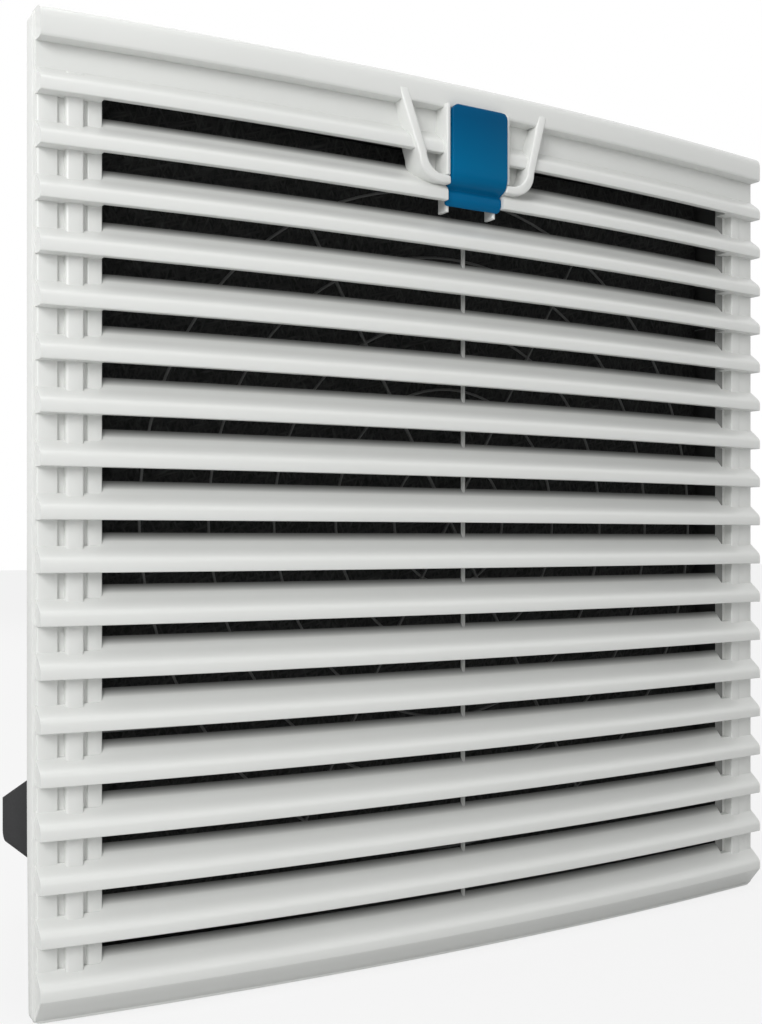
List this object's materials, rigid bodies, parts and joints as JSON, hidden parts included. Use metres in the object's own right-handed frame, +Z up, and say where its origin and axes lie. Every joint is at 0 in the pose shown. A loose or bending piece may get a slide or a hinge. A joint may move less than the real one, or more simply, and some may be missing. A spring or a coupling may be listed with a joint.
{
  "type": "cabinet filter fan",
  "caption": "Filter fan for a square cabinet cut-out, with an arched louvred cover on a hinge, pull tab latch, filter mat, sprung panel catches, axial fan and rear guard",
  "frame": {"origin": "centre of the square panel cut-out, in the outer face of the panel", "axes": "X to the right as seen from the front, +Y into the cabinet, +Z up"},
  "size_m": [0.323, 0.1435, 0.323],
  "materials": {
    "light_grey_plastic": "light grey moulded plastic, satin",
    "frame_grey_plastic": "grey moulded plastic",
    "latch_blue": "deep blue moulded plastic",
    "charcoal_plastic": "charcoal moulded plastic",
    "bright_steel": "bright plated steel",
    "cast_alloy": "cast light alloy",
    "winding_copper": "enamelled copper wire",
    "foam_seal": "foamed seal",
    "charcoal_fibre": "random fibre filter mat",
    "gland_grey": "mid grey moulded plastic",
    "terminal_plastic": "cream moulded plastic",
    "lead_sheath": "black sheath"
  },
  "bodies": {
    "frame": {"mounting_frame": "frame_grey_plastic", "support_grid": "frame_grey_plastic", "panel_seal": "foam_seal", "filter_mat": "charcoal_fibre", "fan_shroud": "charcoal_plastic", "rear_guard": "bright_steel", "fan_screw_1": "bright_steel", "fan_screw_2": "bright_steel", "fan_screw_3": "bright_steel", "fan_screw_4": "bright_steel", "guard_screw_1": "bright_steel", "guard_screw_2": "bright_steel", "guard_screw_3": "bright_steel", "guard_screw_4": "bright_steel", "motor_base": "cast_alloy", "motor_cap": "charcoal_plastic", "stator_core": "bright_steel", "stator_winding": "winding_copper", "bearing_front": "bright_steel", "bearing_rear": "bright_steel", "terminal_box": "charcoal_plastic", "terminal_lid": "charcoal_plastic", "terminal_block": "terminal_plastic", "terminal_screw_1": "bright_steel", "terminal_screw_2": "bright_steel", "terminal_screw_3": "bright_steel", "cable_gland": "gland_grey", "gland_nut": "gland_grey", "motor_lead": "lead_sheath"},
    "cover": {"louvre_cover": "light_grey_plastic", "filter_retainer": "light_grey_plastic", "hinge_pin_left": "bright_steel", "hinge_pin_right": "bright_steel", "latch_pin": "bright_steel", "latch_spring": "bright_steel"},
    "latch": {"latch_tab": "latch_blue"},
    "impeller": {"impeller": "charcoal_plastic", "rotor_cup": "bright_steel", "rotor_ring": "cast_alloy", "rotor_shaft": "bright_steel", "shaft_clip": "bright_steel"},
    "catch_upper_left": {"panel_catch_upper_left": "frame_grey_plastic"},
    "catch_lower_left": {"panel_catch_lower_left": "frame_grey_plastic"},
    "catch_upper_right": {"panel_catch_upper_right": "frame_grey_plastic"},
    "catch_lower_right": {"panel_catch_lower_right": "frame_grey_plastic"}
  },
  "joints": [
    {"name": "cover_hinge", "type": "hinge", "parent": "frame", "child": "cover", "pos_m": [0, -0.006, -0.157], "axis": [1, 0, 0], "range_deg": [0, 70]},
    {"name": "latch_pivot", "type": "hinge", "parent": "cover", "child": "latch", "pos_m": [0, -0.0195, 0.14755], "axis": [-1, 0, 0], "range_deg": [0, 8], "stiffness_Nm_per_rad": 0.1},
    {"name": "impeller_spin", "type": "hinge", "parent": "frame", "child": "impeller", "pos_m": [0, 0.046, 0], "axis": [0, 1, 0], "continuous": true},
    {"name": "catch_upper_left_pivot", "type": "hinge", "parent": "frame", "child": "catch_upper_left", "pos_m": [-0.1433, 0.014, 0.075], "axis": [0, 0, 1], "range_deg": [0, 18], "stiffness_Nm_per_rad": 0.1},
    {"name": "catch_lower_left_pivot", "type": "hinge", "parent": "frame", "child": "catch_lower_left", "pos_m": [-0.1433, 0.014, -0.075], "axis": [0, 0, 1], "range_deg": [0, 18], "stiffness_Nm_per_rad": 0.1},
    {"name": "catch_upper_right_pivot", "type": "hinge", "parent": "frame", "child": "catch_upper_right", "pos_m": [0.1433, 0.014, 0.075], "axis": [0, 0, -1], "range_deg": [0, 18], "stiffness_Nm_per_rad": 0.1},
    {"name": "catch_lower_right_pivot", "type": "hinge", "parent": "frame", "child": "catch_lower_right", "pos_m": [0.1433, 0.014, -0.075], "axis": [0, 0, -1], "range_deg": [0, 18], "stiffness_Nm_per_rad": 0.1}
  ]
}
